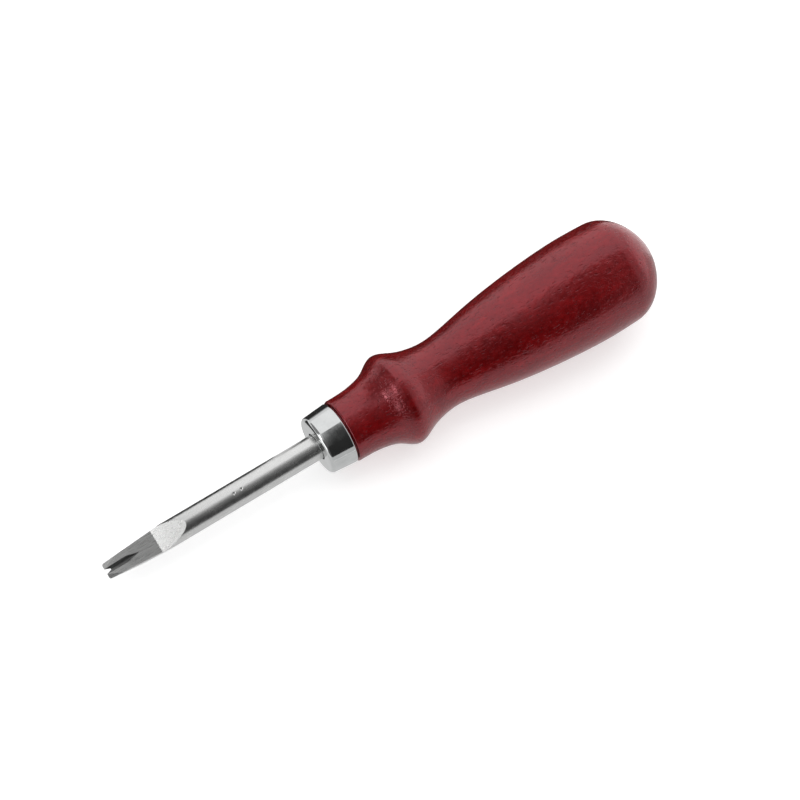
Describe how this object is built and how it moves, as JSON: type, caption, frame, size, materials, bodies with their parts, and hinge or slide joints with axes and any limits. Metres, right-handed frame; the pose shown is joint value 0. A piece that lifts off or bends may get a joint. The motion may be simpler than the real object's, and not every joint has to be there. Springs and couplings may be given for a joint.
{
  "type": "leather edge beveler",
  "caption": "Hand tool that trims and bevels leather edges: forked grooved tip on a round steel shank, plated ferrule, turned wooden handle.",
  "frame": {"origin": "middle of the tool's length, on the axis of the handle", "axes": "+X along the tool from the forked tip to the butt of the handle, +Z on the side that the top flats of the tip are ground on"},
  "size_m": [0.147, 0.0264, 0.0264],
  "materials": {
    "polished_steel": "polished round shank, satin ground flats at the tip",
    "bright_plating": "bright plating with faint handling marks",
    "stained_wood": "dark red stain under a satin lacquer, fine open pores along the grain",
    "cured_adhesive": "dull cured resin, hidden inside the handle"
  },
  "bodies": {
    "root": {"blade": "polished_steel", "ferrule": "bright_plating", "handle": "stained_wood", "tang_adhesive": "cured_adhesive"}
  },
  "joints": []
}
